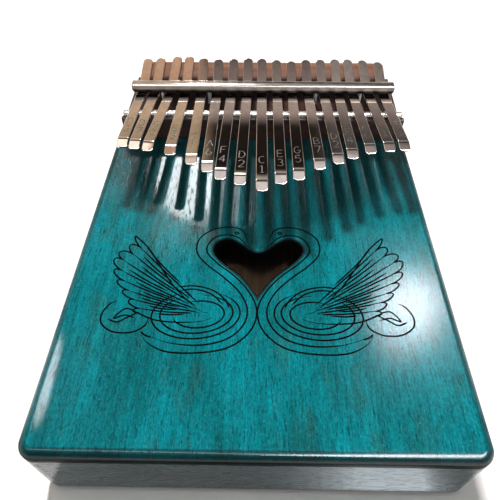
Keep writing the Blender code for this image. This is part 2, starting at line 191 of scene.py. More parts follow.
def ellipse(centre, radii, tilt=0.0, start=0.0, sweep=360.0, steps=48):
    """Points of an ellipse or part of one; angles in degrees, anticlockwise from +X."""
    cos_t, sin_t = math.cos(math.radians(tilt)), math.sin(math.radians(tilt))
    count = steps if abs(sweep) >= 360 else steps + 1
    points = []
    for k in range(count):
        angle = math.radians(start + sweep * k / steps)
        x, y = radii[0] * math.cos(angle), radii[1] * math.sin(angle)
        points.append((centre[0] + x * cos_t - y * sin_t, centre[1] + x * sin_t + y * cos_t))
    return points


def circle(centre, radius, steps):
    return ellipse(centre, (radius, radius), steps=steps)


def inset(points, distance):
    """Move an anticlockwise outline inwards; a negative distance moves it outwards."""
    path = np.array(points)
    edge = np.roll(path, -1, 0) - path
    edge /= np.linalg.norm(edge, axis=1)[:, None]
    normal = np.stack([-edge[:, 1], edge[:, 0]], 1)
    before = np.roll(normal, 1, 0)
    joined = before + normal
    joined /= np.maximum(1 + (before * normal).sum(1), 0.35)[:, None]
    return [tuple(p) for p in path + joined * distance]


def rounded_insets(corners, radii, steps):
    """A function that gives a rounded polygon's outline at an inset: its fillets shrink
    there, and grow where the polygon is hollow."""
    def outline_at(distance):
        moved = [Vector(corner) for corner in inset(corners, distance)]
        sizes = []
        for index, radius in enumerate(radii):
            into = moved[index] - moved[index - 1]
            out = moved[(index + 1) % len(moved)] - moved[index]
            hollow = into.cross(out) < 0
            sizes.append(radius + distance if hollow else max(radius - distance, LEAST_RADIUS))
        return rounded_polygon(moved, sizes, steps)
    return outline_at


def quarter_round(radius, steps):
    """(inset, depth) from a flat face round to an upright side."""
    angles = [math.pi / 2 * k / steps for k in range(steps + 1)] if radius else [math.pi / 2]
    return [(radius * (1 - math.sin(a)), radius * (1 - math.cos(a))) for a in angles]


def edge_rings(low, high, low_round, high_round, steps, rim=FLAT_RIM):
    """(inset, height) of the rings that round a plate's lower and upper edge."""
    rings = ([(d, low + z) for d, z in quarter_round(low_round, steps)]
             + [(d, high - z) for d, z in reversed(quarter_round(high_round, steps))])
    return [(low_round + rim, low)] + rings + [(high_round + rim, high)] if rim else rings


class Shape:
    """The points and faces of one mesh, with a material number for each face."""

    def __init__(self):
        self.points = []
        self.faces = []
        self.marks = []

    def ring(self, outline, height):
        first = len(self.points)
        self.points += [(x, y, height) for x, y in outline]
        return list(range(first, len(self.points)))

    def face(self, corners, mark=0):
        self.faces.append(tuple(corners))
        self.marks.append(mark)

    def band(self, lower, upper, mark=0):
        """Quads between two rings, facing out of an anticlockwise outline."""
        for k in range(len(lower)):
            following = (k + 1) % len(lower)
            self.face((lower[k], lower[following], upper[following], upper[k]), mark)

    def cap(self, outer, holes, strokes=(), depth=0.0, lines=(), faces_up=True, marks=(0, 1),
            regions=()):
        """Fill between the outer ring and the holes; strokes are pieces cut in by depth.

        lines are y values where the cap may bend. marks are the material numbers of the cap
        and of the strokes. regions are (outline, material number) pairs inside the cap.
        """
        unit = 1 / MM
        ids = list(outer) + [i for hole in holes for i in hole]
        height = self.points[outer[0]][2]
        flat = []
        groups = []

        def add_group(outline):
            start = len(flat)
            flat.extend(Vector((x * unit, y * unit)) for x, y in outline)
            groups.append(list(range(start, len(flat))))

        for loop in (outer, *holes):
            add_group([self.points[i][:2] for i in loop])
        edges = []
        for y in lines:
            pair = [k for k in groups[0] if abs(flat[k].y - y * unit) < SAME_PLACE]
            if len(pair) == 2:
                edges.append(tuple(pair))
        for outline, _ in regions:
            add_group(outline)
        first_stroke = len(groups)
        for piece in strokes:
            add_group(piece)
        found, _, triangles, sources, _, owners = delaunay_2d_cdt(
            flat, edges, groups, 0, SAME_PLACE, True)
        top = [next((ids[s] for s in source if s < len(ids)), None) for source in sources]
        floor = [None] * len(found)
        drop = -depth if faces_up else depth

        def point(index, sunk):
            table = floor if sunk else top
            if table[index] is None:
                place = found[index]
                level = height + drop if sunk else height
                table[index] = len(self.points)
                self.points.append((place.x * MM, place.y * MM, level))
            return table[index]

        hole_ids = set(range(1, 1 + len(holes)))
        borders = {}
        for triangle, owner in zip(triangles, owners):
            owner = set(owner)
            if 0 not in owner or owner & hole_ids:
                continue
            sunk = any(o >= first_stroke for o in owner)
            mark = marks[1] if sunk else marks[0]
            for number, (_, region_mark) in enumerate(regions, 1 + len(holes)):
                if number in owner and not sunk:
                    mark = region_mark
            corners = [point(v, sunk) for v in triangle]
            self.face(corners if faces_up else corners[::-1], mark)
            for a, b in zip(triangle, list(triangle[1:]) + [triangle[0]]):
                borders[(a, b)] = sunk
        for (a, b), sunk in borders.items():
            if sunk and borders.get((b, a)) is False:
                wall = (point(b, True), point(a, True), point(a, False), point(b, False))
                self.face(wall if faces_up else wall[::-1], marks[1])

    def build(self, name, materials, place=None, crease=30.0):
        """Make the object; place maps a plate's own (x, y, z) array to the row frame."""
        mesh = bpy.data.meshes.new(name)
        points = np.array(self.points)
        if place:
            points = place(points)
        mesh.from_pydata(points.tolist(), [], self.faces)
        for material in materials:
            mesh.materials.append(material)
        mesh.polygons.foreach_set("material_index", self.marks)
        mesh.shade_smooth()
        mesh.set_sharp_from_angle(angle=math.radians(crease))
        return add_object(name, mesh)


def plate(outline, low, high, low_round, high_round, steps=6, holes=(), hole_ease=0.0,
          strokes=(), depth=0.0, lines=(), regions=(), marks=(0, 0, 0, 1)):
    """A flat piece with rounded edges. marks are the material numbers of its side, its lower
    and upper cap with the hole walls going with the lower one, and its strokes."""
    side_mark, low_mark, high_mark, stroke_mark = marks
    shape = Shape()
    levels = edge_rings(low, high, low_round, high_round, steps)
    if not callable(outline):
        outline = functools.partial(inset, outline)
    rings = [shape.ring(outline(d), z) for d, z in levels]
    for number, (lower, upper) in enumerate(zip(rings, rings[1:])):
        shape.band(lower, upper, high_mark if number == len(rings) - 2 else side_mark)
    low_holes, high_holes = [], []
    for hole in holes:
        levels = edge_rings(low, high, hole_ease, hole_ease, 3)
        walls = [shape.ring(inset(hole, -d), z) for d, z in levels]
        for lower, upper in zip(walls, walls[1:]):
            shape.band(upper, lower, low_mark)
        low_holes.append(walls[0])
        high_holes.append(walls[-1])
    shape.cap(rings[0], low_holes, faces_up=False, lines=lines, marks=(low_mark, low_mark))
    shape.cap(rings[-1], high_holes, strokes, depth, lines, True, (high_mark, stroke_mark),
              regions)
    return shape


def along_x(points):
    """A plate drawn in (y, z) and built up along its own z becomes a bar along X."""
    return points[:, [2, 0, 1]]


# ---- Strokes ----
SMALLEST_PIECE = 1e-4 * MM * MM


def stroke(points, width, closed=False, taper=0.0):
    """Triangles that follow a line. taper is the share of it that thins to each end.

    Pieces that a tight bend folds over are left out.
    """
    path = np.array(points, float)
    if closed:
        ahead = np.roll(path, -1, 0) - np.roll(path, 1, 0)
    else:
        ahead = np.gradient(path, axis=0)
    ahead /= np.linalg.norm(ahead, axis=1)[:, None]
    side = np.stack([-ahead[:, 1], ahead[:, 0]], 1)
    share = np.linspace(0, 1, len(path))
    scale = np.ones(len(path))
    if taper:
        scale = np.clip(np.minimum(share, 1 - share) / taper, 0.3, 1.0)
    reach = side * (width / 2 * scale)[:, None]
    left, right = path + reach, path - reach
    count = len(path)
    pieces = []
    for k in range(count if closed else count - 1):
        after = (k + 1) % count
        for corners in ((left[k], right[k], right[after]), (left[k], right[after], left[after])):
            a, b, c = corners
            area = (b[0] - a[0]) * (c[1] - a[1]) - (b[1] - a[1]) * (c[0] - a[0])
            if area > SMALLEST_PIECE:
                pieces.append(tuple(tuple(corner) for corner in corners))
    return pieces


def bezier(start, control_1, control_2, end, steps):
    t = np.linspace(0, 1, steps + 1)[:, None]
    a, b, c, d = (np.array(p, float) for p in (start, control_1, control_2, end))
    points = (1 - t) ** 3 * a + 3 * (1 - t) ** 2 * t * b + 3 * (1 - t) * t ** 2 * c + t ** 3 * d
    return [tuple(p) for p in points]


def smooth_path(points, steps=8):
    """A Catmull-Rom curve through the points."""
    path = [points[0]] + list(points) + [points[-1]]
    curve = [tuple(points[0])]
    for k in range(1, len(path) - 2):
        p0, p1, p2, p3 = (np.array(path[k + j], float) for j in (-1, 0, 1, 2))
        c1, c2 = p1 + (p2 - p0) / 6, p2 - (p3 - p1) / 6
        curve += bezier(p1, c1, c2, p2, steps)[1:]
    return curve


def mirrored(points):
    return [(-x, y) for x, y in points]


# ---- Materials ----
class Nodes:
    """Short ways to make and link the nodes of one tree."""

    def __init__(self, owner, place):
        owner.use_nodes = True
        self.tree = owner.node_tree
        self.where = self.node("ShaderNodeTexCoord", {}).outputs[place]

    def node(self, kind, inputs, **settings):
        """A new node. inputs has a value, or an output to link, for each input's name or number."""
        made = self.tree.nodes.new(kind)
        for key, value in settings.items():
            setattr(made, key, value)
        for key, value in dict(inputs).items():
            self.feed(made.inputs[key], value)
        return made

    def feed(self, socket, value):
        if isinstance(value, bpy.types.NodeSocket):
            self.tree.links.new(value, socket)
        else:
            socket.default_value = value

    def axis(self, number):
        """One coordinate of the place or direction."""
        return self.node("ShaderNodeSeparateXYZ", {0: self.where}).outputs[number]

    def span(self, value, low, high, out_low=0.0, out_high=1.0, kind="SMOOTHSTEP"):
        """Map low..high to out_low..out_high, smooth at both ends unless kind is LINEAR."""
        inputs = enumerate((value, low, high, out_low, out_high))
        return self.node("ShaderNodeMapRange", inputs, interpolation_type=kind).outputs[0]

    def maths(self, operation, a, b):
        return self.node("ShaderNodeMath", {0: a, 1: b}, operation=operation).outputs[0]

    def product(self, first, *others):
        for other in others:
            first = self.maths("MULTIPLY", first, other)
        return first

    def mix(self, factor, a, b, blend="MIX"):
        a, b = (c if isinstance(c, bpy.types.NodeSocket) else (*c, 1.0) for c in (a, b))
        return self.node("ShaderNodeMix", {0: factor, 6: a, 7: b}, data_type="RGBA",
                         blend_type=blend).outputs[2]


class Finish(Nodes):
    """A node material. Distances are metres in the piece's own, unmoved coordinates."""

    def __init__(self, name, **values):
        self.material = bpy.data.materials.new(name)
        super().__init__(self.material, "Object")
        self.shader = self.tree.nodes["Principled BSDF"]
        for key, value in values.items():
            self.shader.inputs[key.replace("_", " ")].default_value = value

    def noise(self, size, detail=3.0, roughness=0.55, distortion=0.0, seed=0.0):
        """Noise with features of size (x, y, z), from 0 to 1."""
        place = self.node("ShaderNodeMapping", {
            "Vector": self.where, "Scale": tuple(1 / s for s in size),
            "Location": (seed, seed * 1.7, seed * 0.6)}).outputs[0]
        return self.node("ShaderNodeTexNoise", {
            "Vector": place, "Scale": 1.0, "Detail": detail, "Roughness": roughness,
            "Distortion": distortion}).outputs[0]

    def grain(self, across, along, run, *detail, **settings):
        """Noise drawn out along axis number run; across and along are its sizes in mm."""
        size = tuple((along if axis == run else across) * MM for axis in range(3))
        return self.noise(size, *detail, **settings)

    def shade(self, colour, factor):
        """Multiply a colour by a number."""
        grey = self.node("ShaderNodeCombineColor", dict.fromkeys(range(3), factor)).outputs[0]
        return self.mix(1.0, colour, grey, "MULTIPLY")

    def bump(self, height, distance, strength=1.0):
        return self.node("ShaderNodeBump", {"Height": height, "Distance": distance,
                                            "Strength": strength}).outputs[0]

    def finish(self, colour, roughness, normal=None, coat_normal=None):
        for name, value in (("Base Color", colour), ("Roughness", roughness),
                            ("Normal", normal), ("Coat Normal", coat_normal)):
            if value is not None:
                self.feed(self.shader.inputs[name], value)
        return self.material


def thick_lacquer(f, across, along):
    """Where the board's lacquer is thicker and less even, from 0 to 1: a patch on the right,
    a stretch of the left edge and the near edge."""
    patch = f.product(f.span(across, 18 * MM, 44 * MM), f.span(along, -84 * MM, -60 * MM),
                      f.span(along, -14 * MM, 2 * MM, 1.0, 0.0))
    rim = f.product(f.span(across, -64.2 * MM, -60.5 * MM, 1.0, 0.0),
                    f.span(along, -88 * MM, -76 * MM), f.span(along, -66 * MM, -48 * MM, 1.0, 0.0))
    front = f.product(f.span(along, -90.2 * MM, -88.6 * MM, 1.0, 0.0),
                      f.span(across, -10 * MM, 45 * MM, 0.1, 0.8))
    return f.maths("MINIMUM", f.maths("ADD", f.maths("ADD", patch, rim), front), 1.0)


def stained_wood(name, light, dark, brown, run, coat, coat_roughness, board=False):
    """Lacquered, stained mahogany: mottled, with open pores along the grain.

    coat is the strength of the lacquer's shine seen from above and aslant, and the share of
    it that is left at a flat angle. The soundboard has patches of lacquer, painted shade along
    its rounded edge and a painted shadow beneath the tines.
    """
    f = Finish(name, Coat_Roughness=coat_roughness, Specular_IOR_Level=0.03)
    mottle = f.grain(16, 55, run, 4.0, 0.6)
    fibre = f.grain(0.55, 9, run, 3.0, 0.6, seed=3.0)
    streak = f.grain(2.2, 30, run, seed=7.0)
    pore = f.grain(0.36, 3.0, run, 2.0, 0.5, seed=11.0)
    fleck = f.grain(0.6, 1.1, run, 2.0, 0.6, seed=13.0)
    patch = f.grain(7, 16, run, 4.0, 0.65, seed=5.0)
    speck = f.grain(0.45, 0.7, run, 1.0, 0.5, seed=17.0)
    colour = f.mix(f.span(mottle, 0.35, 0.65), dark, light)
    colour = f.mix(f.span(patch, 0.48, 0.7, 0.0, 0.4), colour, brown)
    shade = f.product(f.span(fibre, 0.3, 0.7, 0.78, 1.15), f.span(streak, 0.3, 0.7, 0.84, 1.12),
                      f.span(fleck, 0.28, 0.72, 0.76, 1.24))
    colour = f.shade(colour, shade)
    pores = f.span(pore, 0.58, 0.66)
    colour = f.mix(f.product(pores, 0.6), colour, tuple(c * 0.2 for c in dark))
    bright = f.span(speck, 0.68, 0.76, 0.0, 0.4)
    colour = f.mix(bright, colour, tuple(1.1 * c + 0.1 for c in light))
    depth = f.maths("SUBTRACT", f.product(fibre, 0.25), pores)
    facing = f.node("ShaderNodeLayerWeight", {}).outputs["Facing"]
    sheen = f.product(f.span(facing, 0.205, 0.26, coat[0], coat[1]),
                      f.span(facing, 0.42, 0.6, 1.0, coat[2]),
                      f.maths("SUBTRACT", 1.0, f.product(pores, 0.7)))
    if board:
        # painted shade: the stain is darkened along the rounded edge, and a painted shadow darkens
        # it beneath the tines
        across, along, height = f.axis(0), f.axis(1), f.axis(2)
        # painted shade along the rounded edge, darkest where it turns down
        edge = f.product(f.span(height, BOARD_TOP - 2.2 * MM, BOARD_TOP - 0.1 * MM, 0.08, 1.0),
                         f.span(height, BOARD_TOP - 0.03 * MM, BOARD_TOP, 0.55, 1.0))
        # painted shadow of the tines: a V-shaped darkening of the stain in front of and beneath
        # them
        fan = f.maths("SUBTRACT", along, f.product(f.maths("ABSOLUTE", across, 0.0), 0.6))
        painted_tine_shadow = f.span(fan, -25 * MM, -13 * MM, 1.0, 0.5)
        colour = f.shade(colour, f.product(edge, painted_tine_shadow))
        thick = thick_lacquer(f, across, along)
        sheen = f.product(f.maths("ADD", sheen, f.product(thick, 0.9)),
                          f.span(height, BOARD_TOP - 2.4 * MM, BOARD_TOP - 1.4 * MM, 0.05, 1.0))
        f.feed(f.shader.inputs["Coat Roughness"],
               f.maths("ADD", f.product(thick, 0.18), coat_roughness))
    else:
        seam = f.span(f.axis(2), SEAM_HIGH - 0.9 * MM, SEAM_HIGH - 0.1 * MM, 1.0, 0.06)
        colour = f.shade(colour, seam)
        sheen = f.product(sheen, seam)
    f.feed(f.shader.inputs["Coat Weight"], f.maths("MINIMUM", sheen, 1.0))
    return f.finish(colour, f.span(pore, 0.4, 0.68, 0.34, 0.6), f.bump(depth, 0.05 * MM),
                    f.bump(depth, 0.006 * MM))


def plain_wood(name, light, dark, run, gloss, coat=0.0, specular=0.3):
    """Unstained wood with growth lines and fine fibres."""
    f = Finish(name, Coat_Weight=coat, Coat_Roughness=0.2, Specular_IOR_Level=specular)
    rings = f.grain(2.2, 45, run, 3.0, 0.5, distortion=0.4, seed=2.0)
    fibre = f.grain(0.3, 9, run, 3.0, 0.6, seed=9.0)
    colour = f.mix(f.span(rings, 0.3, 0.7), dark, light)
    colour = f.mix(f.span(fibre, 0.62, 0.75, 0.0, 0.5), colour, tuple(c * 0.4 for c in dark))
    return f.finish(colour, f.span(fibre, 0.3, 0.7, gloss - 0.08, gloss + 0.1),
                    f.bump(fibre, 0.04 * MM))


def steel(name, colour, roughness, run=1, scratch=0.5, dull_shaded_below=None):
    """Polished metal with fine scratches along axis number run, and faint smudges.

    Below the height named by its last argument, it is unpolished and painted darker; painted shade
    darkens it further down.
    """
    f = Finish(name, Metallic=1.0)
    lines = f.grain(0.06, 5, run, 2.0, 0.5, seed=1.0)
    smudge = f.noise((3 * MM, 5 * MM, 3 * MM), 4.0, 0.6, seed=4.0)
    stain = f.noise((1.4 * MM, 2.4 * MM, 1.4 * MM), 3.0, 0.6, seed=6.0)
    tone = f.mix(f.span(smudge, 0.3, 0.7), tuple(c * 0.86 for c in colour), colour)
    tone = f.mix(f.span(stain, 0.6, 0.75, 0.0, 0.3), tone, tuple(c * 0.6 for c in colour))
    rough = f.span(smudge, 0.25, 0.75, roughness * 0.8, roughness * 1.25)
    rough = f.maths("ADD", rough, f.span(lines, 0.6, 0.8, 0.0, 0.08 * scratch))
    if dull_shaded_below:
        height = f.axis(2)
        # unpolished below that height: rougher, and painted darker as part of the painted shade
        dull_and_shaded = f.span(height, dull_shaded_below - 0.1 * MM, dull_shaded_below, 1.0, 0.0)
        # painted shade: the tone falls to near black towards the bar's bottom, next to the tines
        low = f.span(height, dull_shaded_below - 2.5 * MM, dull_shaded_below - 1.3 * MM)
        tone = f.mix(dull_and_shaded, tone, f.mix(low, (0.012, 0.01, 0.009), (0.17, 0.145, 0.125)))
        rough = f.maths("ADD", rough, f.product(dull_and_shaded, 0.4))
    return f.finish(tone, rough, f.bump(lines, 0.002 * MM, scratch))


BOARD = stained_wood("teal_board", (0.0, 0.2, 0.243), (0.0, 0.122, 0.14),
                     (0.02, 0.098, 0.082), 1, (0.035, 0.6, 0.3), 0.075, board=True)
SIDE_ALONG, SIDE_ACROSS = (
    stained_wood(side_name, (0.012, 0.06, 0.075), (0.008, 0.035, 0.045), (0.03, 0.04, 0.035),
                 side_run, (0.8, 0.8, 1.0), 0.2)
    for side_name, side_run in (("dark_side_along", 1), ("dark_side_across", 0)))
RAW = plain_wood("raw_wood", (0.5, 0.33, 0.19), (0.36, 0.23, 0.13), 1, 0.62, 0.0, 0.05)
RIM = plain_wood("burnt_rim", (0.006, 0.05, 0.055), (0.003, 0.03, 0.035), 1, 0.5, 0.0, 0.05)
BURN = plain_wood("burnt_wood", (0.002, 0.005, 0.006), (0.001, 0.002, 0.002), 1, 0.7, 0.0, 0.02)
BRIDGE = plain_wood("bridge_wood", (0.06, 0.022, 0.014), (0.03, 0.01, 0.007), 0, 0.5, 0.1)
SADDLE = plain_wood("saddle_wood", (0.27, 0.125, 0.078), (0.17, 0.08, 0.05), 0, 0.55, 0.0, 0.15)
TINE = steel("tine_steel", (0.68, 0.62, 0.58), 0.035, scratch=0.25)
STAMP = steel("stamped_steel", (0.2, 0.18, 0.16), 0.36, scratch=1.0)
NICKEL = steel("nickel", (0.62, 0.57, 0.53), 0.14, 0, 0.4, bar_high.z - 0.22 * MM)
ROD = steel("rod_steel", (0.6, 0.54, 0.5), 0.28, 0)
SCREW = steel("screw_steel", (0.6, 0.6, 0.6), 0.3, 2)


# ---- Sound box ----
def box_corners(margin=0.0):
    """Anticlockwise from the near left."""
    near, far, end = NEAR_WIDTH / 2 - margin, FAR_WIDTH / 2 - margin, BOX_LENGTH / 2 - margin
    return [(-near, -end), (near, -end), (far, end), (-far, end)]


BOX_OUTLINE = rounded_polygon(box_corners(), [CORNER_RADIUS] * 4, 12)


def heart_outline():
    """The sound hole, anticlockwise from its notch: half of it, then its mirror image."""
    controls = ((0, -20), (4.2, -20), (7.0, -13.5), (11.6, -13.5), (14.2, -13.5), (16.3, -15.7),
                (16.3, -18.4), (16.3, -21.4), (11.5, -25.3), (8.5, -27.8), (5.4, -30.3),
                (1.5, -35.9), (0, -38.7))
    right = [controls[0]]
    for k in range(0, len(controls) - 1, 3):
        right += bezier(*controls[k:k + 4], 18)[1:]
    clockwise = right + mirrored(right[1:-1])[::-1]
    return [(x * MM, y * MM) for x, y in reversed(clockwise)]


HEART = heart_outline()

# The bird's eye, which is its one closed line, its shoulder and its feathers' tips, in mm
EYE = ellipse((8.2, -10.2), (0.65, 0.55), steps=12)
SHOULDER = (15.6, -46.4)
FEATHER_TIPS = ((46.2, -12.4), (49.0, -15.4), (51.4, -19.4), (51.8, -24.6), (50.6, -29.6),
                (48.4, -34.2), (45.6, -38.4), (42.8, -42.2), (40.0, -46.0))


def on_wing(point, share):
    """A share of the way from the shoulder to the point."""
    return tuple(s + (p - s) * share for s, p in zip(SHOULDER, point))


def scallop(start, end, rise, fall, steps):
    return bezier(start, on_wing(start, rise), on_wing(end, fall), end, steps)[1:]


def wing_lines():
    """A fan of feathers: scalloped ends, the lines between them and a quill in each."""
    middles = [((a[0] + b[0]) / 2, (a[1] + b[1]) / 2)
               for a, b in zip(FEATHER_TIPS, FEATHER_TIPS[1:])]
    valleys = [on_wing(middle, 0.86 if number < 2 else 0.92)
               for number, middle in enumerate(middles)]
    contour = smooth_path([(16.4, -45.8), (20.4, -44.0), (28.6, -35.8), (34.6, -27.2),
                           (40.4, -18.4), FEATHER_TIPS[0]])
    contour += scallop(FEATHER_TIPS[0], valleys[0], 1.03, 1.14, 8)
    for start, end in zip(valleys, valleys[1:]):
        contour += scallop(start, end, 1.16, 1.16, 10)
    contour += scallop(valleys[-1], FEATHER_TIPS[-1], 1.15, 1.08, 8)
    contour += smooth_path([FEATHER_TIPS[-1], (34.0, -48.6), (26.4, -49.4), (19.0, -49.0),
                            (15.0, -47.6)])[1:]
    lines = [contour]
    for number, valley in enumerate(valleys):
        start = 0.16 + 0.1 * (number % 2)
        bend = on_wing(valley, 0.6)
        lines.append(bezier(valley, (bend[0] - 0.6, bend[1] - 0.9), on_wing(valley, 0.4),
                            on_wing(valley, start), 10))
    for number, tip in enumerate(FEATHER_TIPS):
        far = 0.83 - 0.05 * (number % 3)
        near = 0.36 + 0.07 * (number % 2)
        middle = on_wing(tip, (far + near) / 2)
        lines.append(bezier(on_wing(tip, far), (middle[0] + 0.3, middle[1] - 0.6),
                            (middle[0] + 0.2, middle[1] - 0.4), on_wing(tip, near), 8))
    return lines


def bird_lines():
    """A long-necked bird on the right of the heart, in mm; the other one mirrors it."""
    # an outer and an inner line round the heart's lobe and flank
    outer = [(3.2, -17.2), (4.6, -12.2), (6.6, -8.4), (11.6, -7.2), (17.6, -8.8), (22.2, -13.4),
             (22.4, -20.0), (18.2, -25.6), (12.0, -31.0), (6.4, -37.0), (3.4, -43.6),
             (4.4, -50.0), (9.4, -55.2), (17.6, -57.6), (27.0, -57.2), (34.2, -55.0)]
    inner = [(1.6, -18.4), (4.4, -16.0), (7.6, -12.4), (11.6, -11.2), (15.8, -12.2),
             (18.6, -15.8), (18.6, -20.0), (14.4, -25.0), (8.6, -30.0), (3.6, -36.0),
             (0.5, -42.4), (0.5, -48.4), (3.4, -54.0), (9.6, -58.6), (19.0, -60.4),
             (29.0, -60.0), (35.6, -56.6), (37.8, -53.0)]
    neck = [smooth_path(outer), smooth_path(inner),
            smooth_path([(34.2, -55.0), (36.2, -54.4), (37.8, -53.0)], 4)]
    body = [ellipse((20.5, -46.2), (14.8, 9.2), -4, 118, 322),
            ellipse((20.3, -46.0), (12.2, 7.4), -4, 100, 330),
            ellipse((19.6, -46.2), (8.6, 5.2), -4, 60, 300)]
    back = [[(28.4, -35.4), (22.0, -34.8), (15.4, -36.6), (10.8, -40.6), (9.4, -44.0)],
            [(27.0, -36.8), (21.6, -36.2), (15.8, -38.2), (11.6, -42.4)]]
    tail = [[(40.0, -45.8), (44.5, -44.4), (47.6, -48.2), (44.2, -46.9), (40.4, -48.0)],
            [(36.0, -47.4), (37.0, -51.0), (41.2, -53.4), (47.0, -53.2), (51.2, -50.4),
             (52.0, -46.6), (50.2, -42.8), (47.8, -41.2)],
            [(39.5, -45.6), (43.6, -48.0), (46.4, -49.6), (49.6, -48.4)]]
    return neck + [EYE] + body + wing_lines() + [smooth_path(line) for line in back + tail]


def ornament_strokes():
    strokes = []
    for points in bird_lines():
        closed = points is EYE
        for side in (points, mirrored(points)):
            path = [(x * MM, y * MM) for x, y in side]
            strokes += stroke(path, ORNAMENT_WIDTH, closed, 0.0 if closed else 0.12)
    return strokes


def make_soundboard():
    shape = plate(BOX_OUTLINE, SEAM_HIGH, BOARD_TOP, SEAM_EASE, TOP_ROUND, 8,
                  [HEART], HEART_EASE, ornament_strokes(), ORNAMENT_DEPTH,
                  regions=[(inset(HEART, -HEART_RIM), 2)], marks=(0, 3, 0, 1))
    board = shape.build("soundboard_lacquered", [BOARD, BURN, RIM, BURN])
    keep(board, "board_finish", "soundboard")


def make_back_board():
    holes = [circle(place, TONE_HOLE_RADIUS, 48) for place in TONE_HOLE_PLACES]
    shape = plate(BOX_OUTLINE, back_low.z, SEAM_LOW, BOTTOM_ROUND, SEAM_EASE, 8, holes,
                  TONE_HOLE_EASE, marks=(0, 0, 1, 1))
    keep(shape.build("back_board_lacquered", [SIDE_ALONG, RAW]), "side_finish", "back_board")


def make_walls():
    """Each wall runs between two mitres, in the middle of the corner fillets."""
    inner = box_corners(WALL_THICKNESS)
    fillet = len(BOX_OUTLINE) // 4
    for index, side in enumerate(("front", "right", "rear", "left")):
        start = index * fillet + fillet // 2
        outer = (BOX_OUTLINE * 2)[start:start + fillet + 1]
        shape = plate(outer + [inner[(index + 1) % 4], inner[index]], SEAM_LOW, SEAM_HIGH, 0.0, 0.0)
        finish = SIDE_ALONG if index % 2 else SIDE_ACROSS
        keep(shape.build(side + "_wall_lacquered", [finish]), "side_finish", side + "_wall")


def keep(piece, slot, *nodes, body="root"):
    """The piece stands for these CAD nodes and moves with their body."""
    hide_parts(*nodes)
    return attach(piece, body)


# ---- Bridge ----
def middle_line(crease):
    """Arrays of y, height and slope angle of a tine's middle line; y grows to the tip."""
    y = np.linspace(-TAIL_REACH, crease + TIP_REACH, 4000)
    clamp = (y + BAR_Y - ROD_Y) / CLAMP_BEND_RADIUS
    heading = np.arcsin(np.clip(clamp, -math.sin(TAIL_RISE), math.sin(PRONG_RISE)))
    turned = math.sin(PRONG_RISE) - np.clip(y - crease, 0, None) / TIP_BEND_RADIUS
    tip = np.arcsin(np.clip(turned, math.sin(PRONG_RISE - TIP_TURN), 1))
    heading = np.where(y > crease, tip, heading)
    step = np.gradient(y)
    height = np.cumsum(np.tan(heading) * step)
    height -= np.interp(0.0, y, height)
    return y, height, heading


def tine_middle_at(y):
    """Height of every tine's middle line at the frame's y, behind the rod."""
    line_y, height, _ = middle_line(30 * MM)
    return ROD_TOP + TINE_THICKNESS / 2 + float(np.interp(ROD_Y - y, line_y, height))


def make_bar(name, node, slot, material, outline, ease, steps):
    """A piece along X with that outline in (y, z) and rounded ends, as long as the node."""
    low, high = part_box(node)
    shape = plate(outline, low.x, high.x, ease, ease, steps)
    keep(shape.build(name, [material], along_x), slot, node)


def make_bridge_base():
    """A low plate with a raised rail in front, grooved along its top for the rod."""
    low, rail_top = BOARD_TOP, base_high.z
    front, back, rail_back = base_low.y, base_high.y, base_low.y + BASE_RAIL_DEPTH
    groove = ROD_RADIUS + GROOVE_GAP
    axis_z = ROD_TOP - ROD_RADIUS
    sink = math.degrees(math.asin((rail_top - axis_z) / groove))
    groove_arc = ellipse((ROD_Y, axis_z), (groove, groove), 0.0, sink, -180 - 2 * sink, 10)
    lower = rounded_polygon(
        [(front, low), (back, low), (back, BASE_PLATE_TOP), (rail_back, BASE_PLATE_TOP),
         (rail_back, rail_top), (ROD_Y + groove, rail_top)],
        [0.4 * MM, 0.4 * MM, 1.0 * MM, 0.8 * MM, 0.9 * MM, 0], 5)
    upper = rounded_polygon([(ROD_Y - groove, rail_top), (front, rail_top), (front, low)],
                            [0, 0.9 * MM, 0], 5)
    make_bar("bridge_base_wood", "bridge_base", "bridge_wood", BRIDGE,
             lower[:-1] + groove_arc + upper[1:-1], BASE_EASE, 3)


def make_rear_saddle():
    """The top is sloped as the tails are, and touches them."""
    low, front, back = saddle_low.z, saddle_low.y, saddle_high.y
    drop = TINE_THICKNESS / 2 / math.cos(TAIL_RISE)
    corners = [(front, low), (back, low), (back, tine_middle_at(back) - drop),
               (front, tine_middle_at(front) - drop)]
    outline = rounded_insets(corners, [0.5 * MM, 0.5 * MM, 2.2 * MM, 1.8 * MM], 8)
    make_bar("rear_saddle_wood", "rear_saddle", "saddle_wood", SADDLE, outline, SADDLE_ROUND, 7)


def make_press_bar():
    """A T-section: a wide top, and a ridge below it that bears on the tines."""
    bottom = tine_middle_at(BAR_Y) + TINE_THICKNESS / 2 + BAR_GAP
    flange = bar_high.z - BAR_FLANGE
    ridge_front, ridge_back = BAR_Y - BAR_RIDGE, BAR_Y + BAR_RIDGE
    corners = [(ridge_front, bottom), (ridge_back, bottom), (ridge_back, flange),
               (bar_high.y, flange), (bar_high.y, bar_high.z), (bar_low.y, bar_high.z),
               (bar_low.y, flange), (ridge_front, flange)]
    radii = [r * MM for r in (0.5, 0.5, 0.3, 0.35, 1.3, 1.1, 0.35, 0.3)]
    make_bar("press_bar_nickel", "press_bar", "nickel", NICKEL,
             rounded_insets(corners, radii, 6), BAR_END_EASE, 4)


def make_saddle_rod():
    make_bar("saddle_rod_steel", "front_saddle_rod", "rod_steel", ROD,
             circle((ROD_Y, ROD_TOP - ROD_RADIUS), ROD_RADIUS, 48), 0.75 * ROD_RADIUS, 7)


